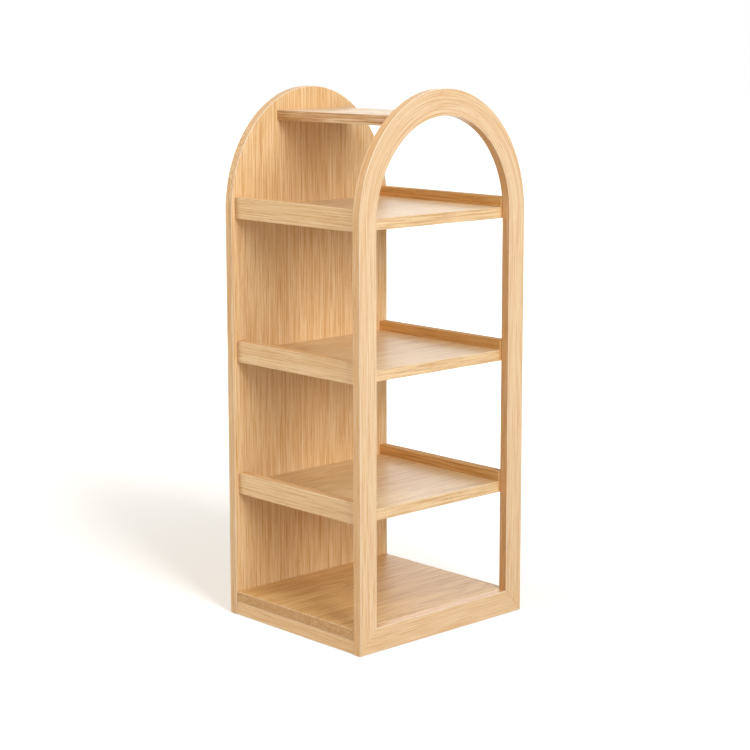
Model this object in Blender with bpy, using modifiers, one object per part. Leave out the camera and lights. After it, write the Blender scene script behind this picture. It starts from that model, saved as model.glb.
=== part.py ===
"""Arched shelf: a solid arched end panel and an open bent arch, joined by shelves with raised rails.

Metres, +Z up. +X runs from the solid end panel to the open arch, -Y is the front with the showing
rails, and the origin is on the floor at the centre of the open arch's depth and of the whole length.
The two ends stand on felt glides, and every cross piece butts between their inner faces on dowels.
"""
import math

import bmesh
import bpy
from mathutils import Vector

# The two ends
SPAN = 0.318                # clear length between the inner faces of the two ends
SIDE_THICKNESS = 0.018      # end panel and open arch
ARCH_DEPTH = 0.400          # open arch, front to back
ARCH_RISE = 0.222           # springing line to the outside of the crown
STILE_WIDTH = 0.039         # upright part of the hoop
CROWN_WIDTH = 0.046         # the hoop at its crown
SILL_WIDTH = 0.0435         # bottom rail of the open arch, measured upwards
PANEL_DROP = 0.003          # crown of the end panel below the crown of the hoop
SPRING_DROP = 0.009         # springing line below the top of the upper shelf
SIDE_ARRIS = 0.002          # rounding along the edges of the two ends

# Levels
GLIDE_REVEAL = 0.001        # gap between the floor and the timber
LOWER_BAY = 0.203           # base top to lower shelf top
MIDDLE_BAY = 0.2425         # lower shelf top to middle shelf top
UPPER_BAY = 0.258           # middle shelf top to upper shelf top
TOP_BOARD_DROP = 0.044      # top board's upper face below the crown of the hoop

# Shelves, rails, base and top
SHELF_THICKNESS = 0.020
RAIL_THICKNESS = 0.018
RAIL_HEIGHT = 0.038
FRONT_RAIL_SETBACK = 0.008  # front rail's face in from the front edge of the end panel
BACK_RAIL_SETBACK = 0.002   # back rail's outer face in from the back edge of the end panel
BACK_RAIL_LAP = 0.0155      # how far the back rail laps over the rear stile
BASE_THICKNESS = 0.019
BASE_SETBACK = 0.0015       # base and plinth in from the edge of the end panel
PLINTH_THICKNESS = 0.018
TOP_BOARD_THICKNESS = 0.018
TOP_BOARD_DEPTH = 0.1625
TOP_BOARD_LANDING = 0.0445  # width of the top board left where it meets the hoop
BOARD_ARRIS = 0.0012        # rounding along the edges of the cross pieces

# Dowels, splines and glides
DOWEL_DIAMETER = 0.006
DOWEL_LENGTH = 0.030
DOWEL_IN_SIDE = 0.011       # part of a dowel that sits in an end
PLINTH_DOWEL_LENGTH = 0.020
PLINTH_DOWEL_IN_BASE = 0.009
DOWEL_CHAMFER = 0.0008
SHELF_DOWEL_INSET = 0.070   # dowel centre in from the edge of a shelf or base
TOP_DOWEL_INSET = 0.013     # first dowel centre in from the front of the top board
TOP_DOWEL_PITCH = 0.015     # next dowel at the narrow landing
PLINTH_DOWEL_INSET = 0.080  # dowel centre in from the end of a plinth
SPLINE_THICKNESS = 0.004
SPLINE_LENGTH = 0.030       # along the mitre
SPLINE_WIDTH = 0.014        # across the mitre
GLIDE_DIAMETER = 0.012
GLIDE_THICKNESS = 0.003
GLIDE_INSET = 0.040         # glide centre in from the front or back of its end

# Fits
SEAT_GAP = 0.0003           # between pieces that meet face to face
BORE_CLEARANCE = 0.0003     # round a dowel, a spline and a glide
DOWEL_END_PLAY = 0.0005     # past each end of a dowel

# Facets, and the angles in degrees that choose which edges are worked
ARCH_STEPS = 48             # facets along a half ellipse
SCOOP_STEPS = 14            # facets along the scoop of the top board
ROUND_SIDES = 16            # sides of a dowel, a bore and a glide
ARRIS_SEGMENTS = 2
ARRIS_ANGLE = 40            # a sharper edge than this is rounded
CHAMFER_ANGLE = 60          # a dowel's ends are chamfered, its sides are not
SMOOTH_ANGLE = 35           # a softer edge than this is shaded smooth
FLAT_ANGLE = 0.2            # faces within this of each other lie in one plane
WELD_DISTANCE = 0.00001     # corners closer than this are one corner
OVERCUT = 0.030             # how far cutters and uncut blanks run past the finished piece

# Places that follow from the sizes above
INNER_FACE = SPAN / 2
MEMBER_LENGTH = SPAN - 2 * SEAT_GAP
SIDE_CENTRE = INNER_FACE + SIDE_THICKNESS / 2
ARCH_HALF = ARCH_DEPTH / 2
STILE_INNER = ARCH_HALF - STILE_WIDTH
FRONT = -ARCH_HALF
BACK_RAIL_OUTER = STILE_INNER + BACK_RAIL_LAP
PANEL_BACK = BACK_RAIL_OUTER + BACK_RAIL_SETBACK
UNIT_CENTRE = (FRONT + PANEL_BACK) / 2
PANEL_HALF = (PANEL_BACK - FRONT) / 2
SILL_TOP = GLIDE_REVEAL + SILL_WIDTH
SHELF_TOPS = {
    "lower": SILL_TOP + LOWER_BAY,
    "middle": SILL_TOP + LOWER_BAY + MIDDLE_BAY,
    "upper": SILL_TOP + LOWER_BAY + MIDDLE_BAY + UPPER_BAY,
}
SPRINGING = SHELF_TOPS["upper"] - SPRING_DROP
CROWN = SPRINGING + ARCH_RISE
TOP_BOARD_TOP = CROWN - TOP_BOARD_DROP
BASE_UNDERSIDE = SILL_TOP - BASE_THICKNESS

# Colours, as red, green and blue out of 255
OAK_ARCH = (238, 208, 168)
OAK_PANEL = (217, 175, 129)
OAK_SHELF = (222, 190, 152)
OAK_RAIL = (215, 172, 125)
BEECH = (224, 190, 150)
BIRCH_PLY = (206, 170, 124)
GREY_FELT = (120, 116, 110)

# Roughness of each kind of surface
LACQUERED = 0.4
BARE_TIMBER = 0.65
FELTED = 0.95

MODEL_NAME = "arched_shelf"
YZ_PLANE = (math.radians(90), 0.0, math.radians(90))


def clear_scene():
    """Remove every object, so that the model starts from an empty scene."""
    for old in list(bpy.data.objects):
        bpy.data.objects.remove(old, do_unlink=True)


def new_collection(name):
    """Make a collection under the scene's own."""
    collection = bpy.data.collections.new(name)
    bpy.context.scene.collection.children.link(collection)
    return collection


def linear(channel):
    """Turn a display colour channel from 0 to 255 into a linear value."""
    value = channel / 255
    return value / 12.92 if value <= 0.04045 else ((value + 0.055) / 1.055) ** 2.4


def make_material(name, colour, roughness):
    """Make a plain non-metal material."""
    material = bpy.data.materials.new(name)
    material.use_nodes = True
    shader = material.node_tree.nodes["Principled BSDF"]
    shader.inputs["Base Color"].default_value = (*(linear(c) for c in colour), 1.0)
    shader.inputs["Roughness"].default_value = roughness
    shader.inputs["Metallic"].default_value = 0.0
    return material


def finish_part(part, colour, roughness=LACQUERED):
    """Give a finished object its own material and hang it on the model's empty."""
    part.data.materials.clear()
    part.data.materials.append(make_material(f"{part.name}_finish", colour, roughness))
    part.parent = bpy.data.objects[MODEL_NAME]
    return part


def mesh_object(name, mesh, collection):
    """Wrap a mesh in an object of one collection."""
    made = bpy.data.objects.new(name, mesh)
    collection.objects.link(made)
    return made


def box(name, low, high, collection):
    """Make a box between two opposite corners, with its origin at its centre."""
    bm = bmesh.new()
    bmesh.ops.create_cube(bm, size=1.0)
    size = Vector(high) - Vector(low)
    bmesh.ops.scale(bm, vec=size, verts=bm.verts)
    mesh = bpy.data.meshes.new(name)
    bm.to_mesh(mesh)
    bm.free()
    made = mesh_object(name, mesh, collection)
    made.location = (Vector(low) + Vector(high)) / 2
    return made


def round_bar(name, radius, start, end, collection):
    """Make a round bar from one point to another along X or Z."""
    run = Vector(end) - Vector(start)
    bm = bmesh.new()
    bmesh.ops.create_cone(
        bm, cap_ends=True, segments=ROUND_SIDES, radius1=radius, radius2=radius, depth=run.length
    )
    mesh = bpy.data.meshes.new(name)
    bm.to_mesh(mesh)
    bm.free()
    made = mesh_object(name, mesh, collection)
    made.location = (Vector(start) + Vector(end)) / 2
    if abs(run.x) > abs(run.z):
        made.rotation_euler = (0.0, math.radians(90), 0.0)
    return made


def slab(name, outline, thickness, location, rotation, collection):
    """Extrude a flat outline evenly to both sides of its plane and return it as a mesh object."""
    curve = bpy.data.curves.new(name, "CURVE")
    curve.dimensions = "2D"
    curve.fill_mode = "BOTH"
    curve.extrude = thickness / 2
    spline = curve.splines.new("POLY")
    spline.points.add(len(outline) - 1)
    for point, (x, y) in zip(spline.points, outline):
        point.co = (x, y, 0.0, 1.0)
    spline.use_cyclic_u = True
    guide = mesh_object(f"{name}_outline", curve, collection)
    guide.location = location
    guide.rotation_euler = rotation
    bpy.context.view_layer.update()
    evaluated = guide.evaluated_get(bpy.context.evaluated_depsgraph_get())
    mesh = bpy.data.meshes.new_from_object(evaluated)
    mesh.name = name
    placed = guide.matrix_world.copy()
    bpy.data.objects.remove(guide, do_unlink=True)
    weld_and_merge_flats(mesh)
    made = mesh_object(name, mesh, collection)
    made.matrix_world = placed
    return made


def weld_and_merge_flats(mesh):
    """Close the seams of an extruded outline and join each flat side into one face."""
    bm = bmesh.new()
    bm.from_mesh(mesh)
    bmesh.ops.remove_doubles(bm, verts=bm.verts, dist=WELD_DISTANCE)
    flat = math.radians(FLAT_ANGLE)
    bmesh.ops.dissolve_limit(bm, angle_limit=flat, verts=bm.verts, edges=bm.edges)
    bmesh.ops.recalc_face_normals(bm, faces=bm.faces)
    bm.to_mesh(mesh)
    bm.free()


def ease_edges(part, radius):
    """Round every sharp edge of a piece by a small radius."""
    bevel = part.modifiers.new("arris", "BEVEL")
    bevel.width = radius
    bevel.segments = ARRIS_SEGMENTS
    bevel.limit_method = "ANGLE"
    bevel.angle_limit = math.radians(ARRIS_ANGLE)
    bevel.use_clamp_overlap = True
    return part


def cut(part, cutter, operation="DIFFERENCE"):
    """Cut a piece with another solid, which stays behind as a hidden wire shape."""
    boolean = part.modifiers.new(cutter.name, "BOOLEAN")
    boolean.operation = operation
    boolean.solver = "EXACT"
    boolean.object = cutter
    cutter.display_type = "WIRE"
    cutter.hide_render = True
    return part


def join_cutters(name, shapes, collection):
    """Gather separate solids that don't touch into one cutter in world coordinates."""
    bpy.context.view_layer.update()
    bm = bmesh.new()
    for shape in shapes:
        shape.data.transform(shape.matrix_world)
        bm.from_mesh(shape.data)
        bpy.data.objects.remove(shape, do_unlink=True)
    mesh = bpy.data.meshes.new(name)
    bm.to_mesh(mesh)
    bm.free()
    return mesh_object(name, mesh, collection)


def half_ellipse(half_width, rise, centre, springing, steps):
    """List points along a half ellipse from its +Y foot over the crown to its -Y foot."""
    points = []
    for step in range(steps + 1):
        angle = math.pi * step / steps
        points.append((centre + half_width * math.cos(angle), springing + rise * math.sin(angle)))
    return points


class Dowel:
    """One dowel and the two blind bores that it sits in."""

    def __init__(self, name, start, end, first, second):
        """Keep the dowel's end points and the names of the two pieces that it joins."""
        self.name = name
        self.start = Vector(start)
        self.end = Vector(end)
        self.pieces = (first, second)

    def solid(self, collection):
        """Make the dowel with chamfered ends."""
        part = round_bar(self.name, DOWEL_DIAMETER / 2, self.start, self.end, collection)
        chamfer = part.modifiers.new("chamfer", "BEVEL")
        chamfer.width = DOWEL_CHAMFER
        chamfer.segments = 1
        chamfer.limit_method = "ANGLE"
        chamfer.angle_limit = math.radians(CHAMFER_ANGLE)
        part.data.shade_smooth()
        part.data.set_sharp_from_angle(angle=math.radians(SMOOTH_ANGLE))
        return part

    def bore(self, collection):
        """Make the bore, a little wider and longer than the dowel."""
        run = (self.end - self.start).normalized() * DOWEL_END_PLAY
        radius = DOWEL_DIAMETER / 2 + BORE_CLEARANCE
        return round_bar(f"{self.name}_bore", radius, self.start - run, self.end + run, collection)


def side_dowel(name, toward, y, z, side_piece, member):
    """Describe a dowel along X from one end into a cross piece. toward is -1 or +1, the end's side."""
    seat = toward * (INNER_FACE + DOWEL_IN_SIDE)
    other = seat - toward * DOWEL_LENGTH
    return Dowel(name, (min(seat, other), y, z), (max(seat, other), y, z), side_piece, member)


def rail_places():
    """Give each rail's front and back face, by its place on the shelf."""
    front_face = FRONT + FRONT_RAIL_SETBACK
    return {
        "front": (front_face, front_face + RAIL_THICKNESS),
        "back": (BACK_RAIL_OUTER - RAIL_THICKNESS, BACK_RAIL_OUTER),
    }


def base_places():
    """Give the front and back face of the base board."""
    return FRONT + BASE_SETBACK, PANEL_BACK - BASE_SETBACK


def top_board_places():
    """Give the front and back face of the top board."""
    return UNIT_CENTRE - TOP_BOARD_DEPTH / 2, UNIT_CENTRE + TOP_BOARD_DEPTH / 2


def plan_dowels():
    """List every dowel in the shelf with the two pieces that it joins."""
    dowels = []
    for level, top in SHELF_TOPS.items():
        rail_z = top - SHELF_THICKNESS + RAIL_HEIGHT / 2
        for place, (near, far) in rail_places().items():
            rail = f"{level}_{place}_rail"
            centre = (near + far) / 2
            arch_y = STILE_INNER + BACK_RAIL_LAP / 2 if place == "back" else centre
            dowels.append(side_dowel(f"dowel_{rail}_panel", -1, centre, rail_z, "end_panel", rail))
            dowels.append(side_dowel(f"dowel_{rail}_arch", 1, arch_y, rail_z, "arch_hoop", rail))
        shelf = f"{level}_shelf"
        shelf_z = top - SHELF_THICKNESS / 2
        shelf_front, shelf_back = rail_places()["front"][1], rail_places()["back"][0]
        for place, y in (("front", shelf_front + SHELF_DOWEL_INSET), ("back", shelf_back - SHELF_DOWEL_INSET)):
            dowels.append(side_dowel(f"dowel_{shelf}_{place}", -1, y, shelf_z, "end_panel", shelf))
    return dowels + plan_base_dowels() + plan_top_dowels()


def plan_base_dowels():
    """List the dowels of the base: two into each end, and two up from each plinth."""
    dowels = []
    base_z = SILL_TOP - BASE_THICKNESS / 2
    base_front, base_back = base_places()
    joint_z = BASE_UNDERSIDE - SEAT_GAP
    for place, edge, inward in (("front", base_front, 1), ("back", base_back, -1)):
        y = edge + inward * SHELF_DOWEL_INSET
        dowels.append(side_dowel(f"dowel_base_{place}_panel", -1, y, base_z, "end_panel", "base_board"))
        dowels.append(side_dowel(f"dowel_base_{place}_arch", 1, y, base_z, "arch_sill", "base_board"))
        plinth_y = edge + inward * PLINTH_THICKNESS / 2
        top = joint_z + PLINTH_DOWEL_IN_BASE
        for hand, x in (("panel", -INNER_FACE + PLINTH_DOWEL_INSET), ("arch", INNER_FACE - PLINTH_DOWEL_INSET)):
            start, end = (x, plinth_y, top - PLINTH_DOWEL_LENGTH), (x, plinth_y, top)
            name = f"dowel_plinth_{place}_{hand}"
            dowels.append(Dowel(name, start, end, f"plinth_{place}", "base_board"))
    return dowels


def plan_top_dowels():
    """List the dowels of the top board: two into the panel and two side by side into the hoop."""
    front, back = top_board_places()
    z = TOP_BOARD_TOP - TOP_BOARD_THICKNESS / 2
    first = front + TOP_DOWEL_INSET
    places = (
        ("panel_front", -1, first, "end_panel"),
        ("panel_back", -1, back - TOP_DOWEL_INSET, "end_panel"),
        ("arch_front", 1, first, "arch_hoop"),
        ("arch_back", 1, first + TOP_DOWEL_PITCH, "arch_hoop"),
    )
    return [side_dowel(f"dowel_top_{n}", hand, y, z, side, "top_board") for n, hand, y, side in places]


def mitre_prism(name, rise, collection):
    """Make the prism whose slanted sides are the two mitre planes of the open arch.

    Each plane runs from the inner corner, where stile and sill meet, down to the outer corner, and
    carries on past both. rise lifts the planes, which leaves the glue gap at the hoop.
    """
    def on_mitre(run):
        """Give the point of the mitre at run, 0 at the inner corner and 1 at the outer one."""
        return STILE_INNER + run * STILE_WIDTH, SILL_TOP - run * SILL_WIDTH + rise

    upper = on_mitre(-OVERCUT / SILL_WIDTH)
    lower = on_mitre(1 + OVERCUT / SILL_WIDTH)
    outline = [(-lower[0], lower[1]), lower, upper, (-upper[0], upper[1])]
    centre = (SIDE_CENTRE, 0.0, 0.0)
    return slab(name, outline, SIDE_THICKNESS + 2 * OVERCUT, centre, YZ_PLANE, collection)


def spline_box(name, side, grow, collection):
    """Make the loose tongue of one mitre, or with grow its slot. side is -1 in front, +1 behind."""
    half = Vector((SPLINE_THICKNESS, SPLINE_LENGTH, SPLINE_WIDTH)) / 2 + Vector((grow, grow, grow))
    made = box(name, -half, half, collection)
    centre_y = (STILE_INNER + ARCH_HALF) / 2
    centre_z = (SILL_TOP + GLIDE_REVEAL) / 2
    slope = math.atan2(SILL_WIDTH, STILE_WIDTH)
    made.location = (SIDE_CENTRE, side * centre_y, centre_z)
    made.rotation_euler = (-side * slope, 0.0, 0.0)
    return made


def glide_places():
    """Give each glide's centre on the floor and the piece that it is let into."""
    front, back = FRONT + GLIDE_INSET, PANEL_BACK - GLIDE_INSET
    return {
        "glide_panel_front": (-SIDE_CENTRE, front, "end_panel"),
        "glide_panel_back": (-SIDE_CENTRE, back, "end_panel"),
        "glide_arch_front": (SIDE_CENTRE, front, "arch_sill"),
        "glide_arch_back": (SIDE_CENTRE, -front, "arch_sill"),
    }


def build_glides(parts):
    """Make the four felt glides."""
    for name, (x, y, _) in glide_places().items():
        disc = round_bar(name, GLIDE_DIAMETER / 2, (x, y, 0.0), (x, y, GLIDE_THICKNESS), parts)
        disc.data.shade_smooth()
        disc.data.set_sharp_from_angle(angle=math.radians(SMOOTH_ANGLE))
        finish_part(disc, GREY_FELT, FELTED)


def recesses_for(piece, dowels, cutters):
    """Gather the dowel bores and glide recesses of one piece into a single cutter."""
    shapes = [dowel.bore(cutters) for dowel in dowels if piece in dowel.pieces]
    radius = GLIDE_DIAMETER / 2 + BORE_CLEARANCE
    for name, (x, y, owner) in glide_places().items():
        if owner == piece:
            top = GLIDE_THICKNESS + BORE_CLEARANCE
            low, high = (x, y, -OVERCUT), (x, y, top)
            shapes.append(round_bar(f"{name}_recess", radius, low, high, cutters))
    return join_cutters(f"{piece}_recesses", shapes, cutters)


def build_end_panel(parts, cutters, dowels):
    """Make the solid end: a board with an arched top."""
    arch = half_ellipse(PANEL_HALF, ARCH_RISE - PANEL_DROP, UNIT_CENTRE, SPRINGING, ARCH_STEPS)
    outline = [(FRONT, GLIDE_REVEAL), (PANEL_BACK, GLIDE_REVEAL)] + arch
    centre = (-SIDE_CENTRE, 0.0, 0.0)
    panel = slab("end_panel", outline, SIDE_THICKNESS, centre, YZ_PLANE, parts)
    ease_edges(panel, SIDE_ARRIS)
    cut(panel, recesses_for("end_panel", dowels, cutters))
    finish_part(panel, OAK_PANEL)


def build_arch_hoop(parts, cutters, dowels, slots):
    """Make the bent hoop: two stiles and the crown in one run, thicker at the crown, mitred below."""
    outer = half_ellipse(ARCH_HALF, ARCH_RISE, 0.0, SPRINGING, ARCH_STEPS)
    inner = half_ellipse(STILE_INNER, ARCH_RISE - CROWN_WIDTH, 0.0, SPRINGING, ARCH_STEPS)
    foot = -OVERCUT / 2
    outline = [(ARCH_HALF, foot)] + outer + [(-ARCH_HALF, foot), (-STILE_INNER, foot)]
    outline += inner[::-1] + [(STILE_INNER, foot)]
    hoop = slab("arch_hoop", outline, SIDE_THICKNESS, (SIDE_CENTRE, 0.0, 0.0), YZ_PLANE, parts)
    ease_edges(hoop, SIDE_ARRIS)
    rise = SEAT_GAP * math.hypot(STILE_WIDTH, SILL_WIDTH) / STILE_WIDTH
    cut(hoop, mitre_prism("hoop_mitres", rise, cutters))
    cut(hoop, slots)
    cut(hoop, recesses_for("arch_hoop", dowels, cutters))
    finish_part(hoop, OAK_ARCH)


def build_arch_sill(parts, cutters, dowels, slots):
    """Make the bottom rail of the open arch, mitred at both ends."""
    low = (INNER_FACE, -ARCH_HALF, GLIDE_REVEAL)
    high = (INNER_FACE + SIDE_THICKNESS, ARCH_HALF, SILL_TOP)
    sill = ease_edges(box("arch_sill", low, high, parts), SIDE_ARRIS)
    cut(sill, mitre_prism("sill_mitres", 0.0, cutters), "INTERSECT")
    cut(sill, slots)
    cut(sill, recesses_for("arch_sill", dowels, cutters))
    finish_part(sill, OAK_ARCH)


def build_mitre_splines(parts):
    """Make the two loose tongues that lock the mitres."""
    for name, side in (("mitre_spline_front", -1), ("mitre_spline_back", 1)):
        finish_part(spline_box(name, side, 0.0, parts), BIRCH_PLY, BARE_TIMBER)


def build_member(name, y_range, z_range, colour, parts, cutters, dowels):
    """Make a straight cross piece between the two ends, bored for its dowels."""
    low = (-MEMBER_LENGTH / 2, y_range[0], z_range[0])
    high = (MEMBER_LENGTH / 2, y_range[1], z_range[1])
    member = ease_edges(box(name, low, high, parts), BOARD_ARRIS)
    cut(member, recesses_for(name, dowels, cutters))
    finish_part(member, colour)


def build_shelves(parts, cutters, dowels):
    """Make the three shelves, each between a raised front rail and a raised back rail."""
    rails = rail_places()
    board_y = (rails["front"][1] + SEAT_GAP, rails["back"][0] - SEAT_GAP)
    for level, top in SHELF_TOPS.items():
        underside = top - SHELF_THICKNESS
        build_member(f"{level}_shelf", board_y, (underside, top), OAK_SHELF, parts, cutters, dowels)
        for place, faces in rails.items():
            rail_z = (underside, underside + RAIL_HEIGHT)
            build_member(f"{level}_{place}_rail", faces, rail_z, OAK_RAIL, parts, cutters, dowels)


def build_base(parts, cutters, dowels):
    """Make the base board, level with the top of the sill, and the plinth rails under its edges."""
    front, back = base_places()
    build_member("base_board", (front, back), (BASE_UNDERSIDE, SILL_TOP), OAK_SHELF, parts, cutters, dowels)
    plinth_z = (GLIDE_REVEAL, BASE_UNDERSIDE - SEAT_GAP)
    front_y = (front, front + PLINTH_THICKNESS)
    back_y = (back - PLINTH_THICKNESS, back)
    build_member("plinth_front", front_y, plinth_z, OAK_RAIL, parts, cutters, dowels)
    build_member("plinth_back", back_y, plinth_z, OAK_RAIL, parts, cutters, dowels)


def build_top_board(parts, cutters, dowels):
    """Make the top board, whose back corner is scooped away beside the crown as a hand hold."""
    front, back = top_board_places()
    end = MEMBER_LENGTH / 2
    radius = TOP_BOARD_DEPTH - TOP_BOARD_LANDING
    scoop = []
    for step in range(SCOOP_STEPS + 1):
        angle = math.pi / 2 * step / SCOOP_STEPS
        scoop.append((end - radius * math.sin(angle), back - radius * math.cos(angle)))
    outline = [(-end, back), (-end, front), (end, front)] + scoop
    centre = (0.0, 0.0, TOP_BOARD_TOP - TOP_BOARD_THICKNESS / 2)
    board = slab("top_board", outline, TOP_BOARD_THICKNESS, centre, (0.0, 0.0, 0.0), parts)
    ease_edges(board, BOARD_ARRIS)
    cut(board, recesses_for("top_board", dowels, cutters))
    finish_part(board, OAK_SHELF)


def build_dowels(parts, dowels):
    """Make every dowel."""
    for dowel in dowels:
        finish_part(dowel.solid(parts), BEECH, BARE_TIMBER)


def main():
    """Build the whole shelf."""
    clear_scene()
    parts = new_collection(MODEL_NAME)
    cutters = new_collection("cutters")
    parts.objects.link(bpy.data.objects.new(MODEL_NAME, None))
    dowels = plan_dowels()
    slot_shapes = [spline_box(f"slot_{side}", side, BORE_CLEARANCE, cutters) for side in (-1, 1)]
    slots = join_cutters("spline_slots", slot_shapes, cutters)
    build_end_panel(parts, cutters, dowels)
    build_arch_hoop(parts, cutters, dowels, slots)
    build_arch_sill(parts, cutters, dowels, slots)
    build_mitre_splines(parts)
    build_base(parts, cutters, dowels)
    build_shelves(parts, cutters, dowels)
    build_top_board(parts, cutters, dowels)
    build_dowels(parts, dowels)
    build_glides(parts)
    bpy.context.view_layer.update()


main()
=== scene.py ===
"""Looks for the arched shelf: a solid arched end, an open bent arch, railed shelves between them.

Every piece is pale oak under a satin lacquer. The timber pieces are new surfaces with true rounded
arrises that stand for the plain solids; the hidden dowels, tongues and glides keep their solids.
"""
from __future__ import annotations

import logging
import math
from dataclasses import dataclass
from dataclasses import field
from enum import Enum

import bpy
import numpy as np
from mathutils import Euler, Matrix
from mathutils import Vector


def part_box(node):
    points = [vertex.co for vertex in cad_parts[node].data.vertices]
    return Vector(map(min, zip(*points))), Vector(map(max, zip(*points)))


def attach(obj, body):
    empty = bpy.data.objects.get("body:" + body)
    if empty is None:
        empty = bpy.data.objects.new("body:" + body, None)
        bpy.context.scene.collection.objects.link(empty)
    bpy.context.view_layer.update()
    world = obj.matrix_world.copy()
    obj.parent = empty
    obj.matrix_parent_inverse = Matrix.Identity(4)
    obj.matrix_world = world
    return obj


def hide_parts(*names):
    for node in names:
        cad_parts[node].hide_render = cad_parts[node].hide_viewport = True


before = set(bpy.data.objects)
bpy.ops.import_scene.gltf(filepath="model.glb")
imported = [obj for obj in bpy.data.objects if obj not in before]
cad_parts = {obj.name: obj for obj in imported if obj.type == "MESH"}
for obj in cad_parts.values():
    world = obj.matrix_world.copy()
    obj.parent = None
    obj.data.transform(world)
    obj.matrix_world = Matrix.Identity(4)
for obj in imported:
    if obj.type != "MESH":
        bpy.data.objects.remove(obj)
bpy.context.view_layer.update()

LOG = logging.getLogger("arched_shelf")
BODY = "root"
Colour = tuple[float, float, float]
Place = tuple[float, float, float]
Socket = bpy.types.NodeSocket

# Values that several finishes and pieces share
WHITE = (255, 255, 255)
GLINT = (252, 244, 232)         # the colour of the painted highlight along an arris, in part a worn arris's pale, and of the lacquer's haze
GLINT_POWER = 2.5               # how narrow the painted highlight along an arris is
COAT_IOR = 1.5
BLOOM_ROUGHNESS = 0.3
BUMP_DISTANCE = 0.0004          # the depth of the relief, in metres
MIDDLE = 0.5                    # a noise's middle
NOISE_SPAN = (0.3, 0.7)         # where most of a noise's values lie
FIBRE_BAND = 0.2                # how far from the middle a fibre shows fully
DASH_BAND = 0.16                # the same for a dash
SIDE_TILT = (0.3, 0.9)          # a normal's part along the wide faces' axis: a side face, a wide face
END_GRAIN_TILT = (0.6, 0.95)    # its part along the grain: no end grain, full end grain
UPWARD_TILT = (0.1, 0.5)        # its part along Z: an upright face, a level face, over which the painted arris highlight grows to full
END_CALM = 0.65                 # how much weaker dashes are on end grain
END_RINGS = 0.5                 # how much of the end grain's shade its rings add
PORE_SHARE = 0.3                # how strongly pores show
RAY_SHARE = 0.12                # how strongly ray flecks show
JOINT_SHARE = 0.3               # how strongly glued joints show
ARRIS_STEPS = 4                 # how many steps a rounded arris has
WELD_DIGITS = 8                 # points that agree to so many decimals are one point


class GrainRun(Enum):
    """The direction of the grain: the turn that lays it along a pattern's third axis, and its axis."""

    ALONG_X = ((0.0, -90.0, 0.0), (1.0, 0.0, 0.0))
    ALONG_Y = ((90.0, 0.0, 0.0), (0.0, 1.0, 0.0))
    ALONG_Z = ((0.0, 0.0, 90.0), (0.0, 0.0, 1.0))

    def turn(self) -> Euler:
        """Give the turn from the object's axes to across, through and along the board."""
        return Euler([math.radians(angle) for angle in self.value[0]])

    def axis(self) -> Place:
        """Give the object axis that the grain runs along."""
        return self.value[1]


def linear(colour: Colour) -> tuple[float, float, float, float]:
    """Turn a display colour into the linear one that a shader takes, by the sRGB curve.

    Args:
        colour: Red, green and blue from 0 to 255.

    Returns:
        Linear red, green and blue from 0 to 1, and an alpha of 1.
    """
    share = np.asarray(colour, dtype=float) / 255.0
    low = share / 12.92
    high = ((share + 0.055) / 1.055) ** 2.4
    return (*np.where(share <= 0.04045, low, high).tolist(), 1.0)


class Graph:
    """Adds nodes to one node tree, and wires numbers and sockets into them alike."""

    def __init__(self, tree: bpy.types.NodeTree) -> None:
        """Keep the tree."""
        self.tree = tree

    def wire(self, target: Socket, source: object) -> None:
        """Link a socket to an input, or set the input to a plain value.

        Args:
            target: The input.
            source: A socket, a number or a tuple.
        """
        if isinstance(source, bpy.types.NodeSocket):
            self.tree.links.new(source, target)
        else:
            target.default_value = source

    def node(
        self, kind: str, inputs: dict[object, object] | None = None, **settings: object
    ) -> bpy.types.Node:
        """Add a node.

        Args:
            kind: The node's type name.
            inputs: Sockets or plain values by input name or number.
            settings: Properties of the node.

        Returns:
            The new node.
        """
        made = self.tree.nodes.new(kind)
        for name, value in settings.items():
            setattr(made, name, value)
        for name, value in (inputs or {}).items():
            self.wire(made.inputs[name], value)
        return made

    def calc(self, operation: str, *values: object, clamp: bool = False) -> Socket:
        """Add a Math node and return its output."""
        made = self.node("ShaderNodeMath", dict(enumerate(values)), operation=operation, use_clamp=clamp)
        return made.outputs[0]

    def add_share(self, value: object, part: object, share: object, clamp: bool = False) -> Socket:
        """Add a share of one value to another."""
        return self.calc("ADD", value, self.calc("MULTIPLY", part, share), clamp=clamp)

    def centred(self, value: Socket) -> Socket:
        """Move a value from 0 to 1 so that it runs from minus a half to a half."""
        return self.calc("SUBTRACT", value, MIDDLE)

    def remap(
        self, value: object, low: object, high: object, out_low: float = 0.0, out_high: float = 1.0
    ) -> Socket:
        """Carry a value smoothly from one range to another and hold it at both ends.

        Args:
            value: The value.
            low: Where its range starts.
            high: Where its range ends.
            out_low: What the start becomes.
            out_high: What the end becomes.

        Returns:
            The new value.
        """
        values = {"Value": value, "From Min": low, "From Max": high, "To Min": out_low, "To Max": out_high}
        return self.node("ShaderNodeMapRange", values, interpolation_type="SMOOTHSTEP").outputs[0]

    def blend(self, factor: object, first: object, second: object, mode: str = "MIX") -> Socket:
        """Mix two colours.

        Args:
            factor: How much of the second colour there is.
            first: The first colour.
            second: The second colour.
            mode: The way of mixing.

        Returns:
            The mixed colour.
        """
        made = self.node("ShaderNodeMix", data_type="RGBA", blend_type=mode, clamp_result=True)
        self.wire(made.inputs[0], factor)
        self.wire(made.inputs[6], first)
        self.wire(made.inputs[7], second)
        return made.outputs[2]


def open_material(name: str) -> tuple[bpy.types.Material, Graph]:
    """Make a material without nodes.

    Args:
        name: Its name.

    Returns:
        The material and the graph that fills it.
    """
    made = bpy.data.materials.new(name)
    made.use_nodes = True
    made.node_tree.nodes.clear()
    return made, Graph(made.node_tree)


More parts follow.
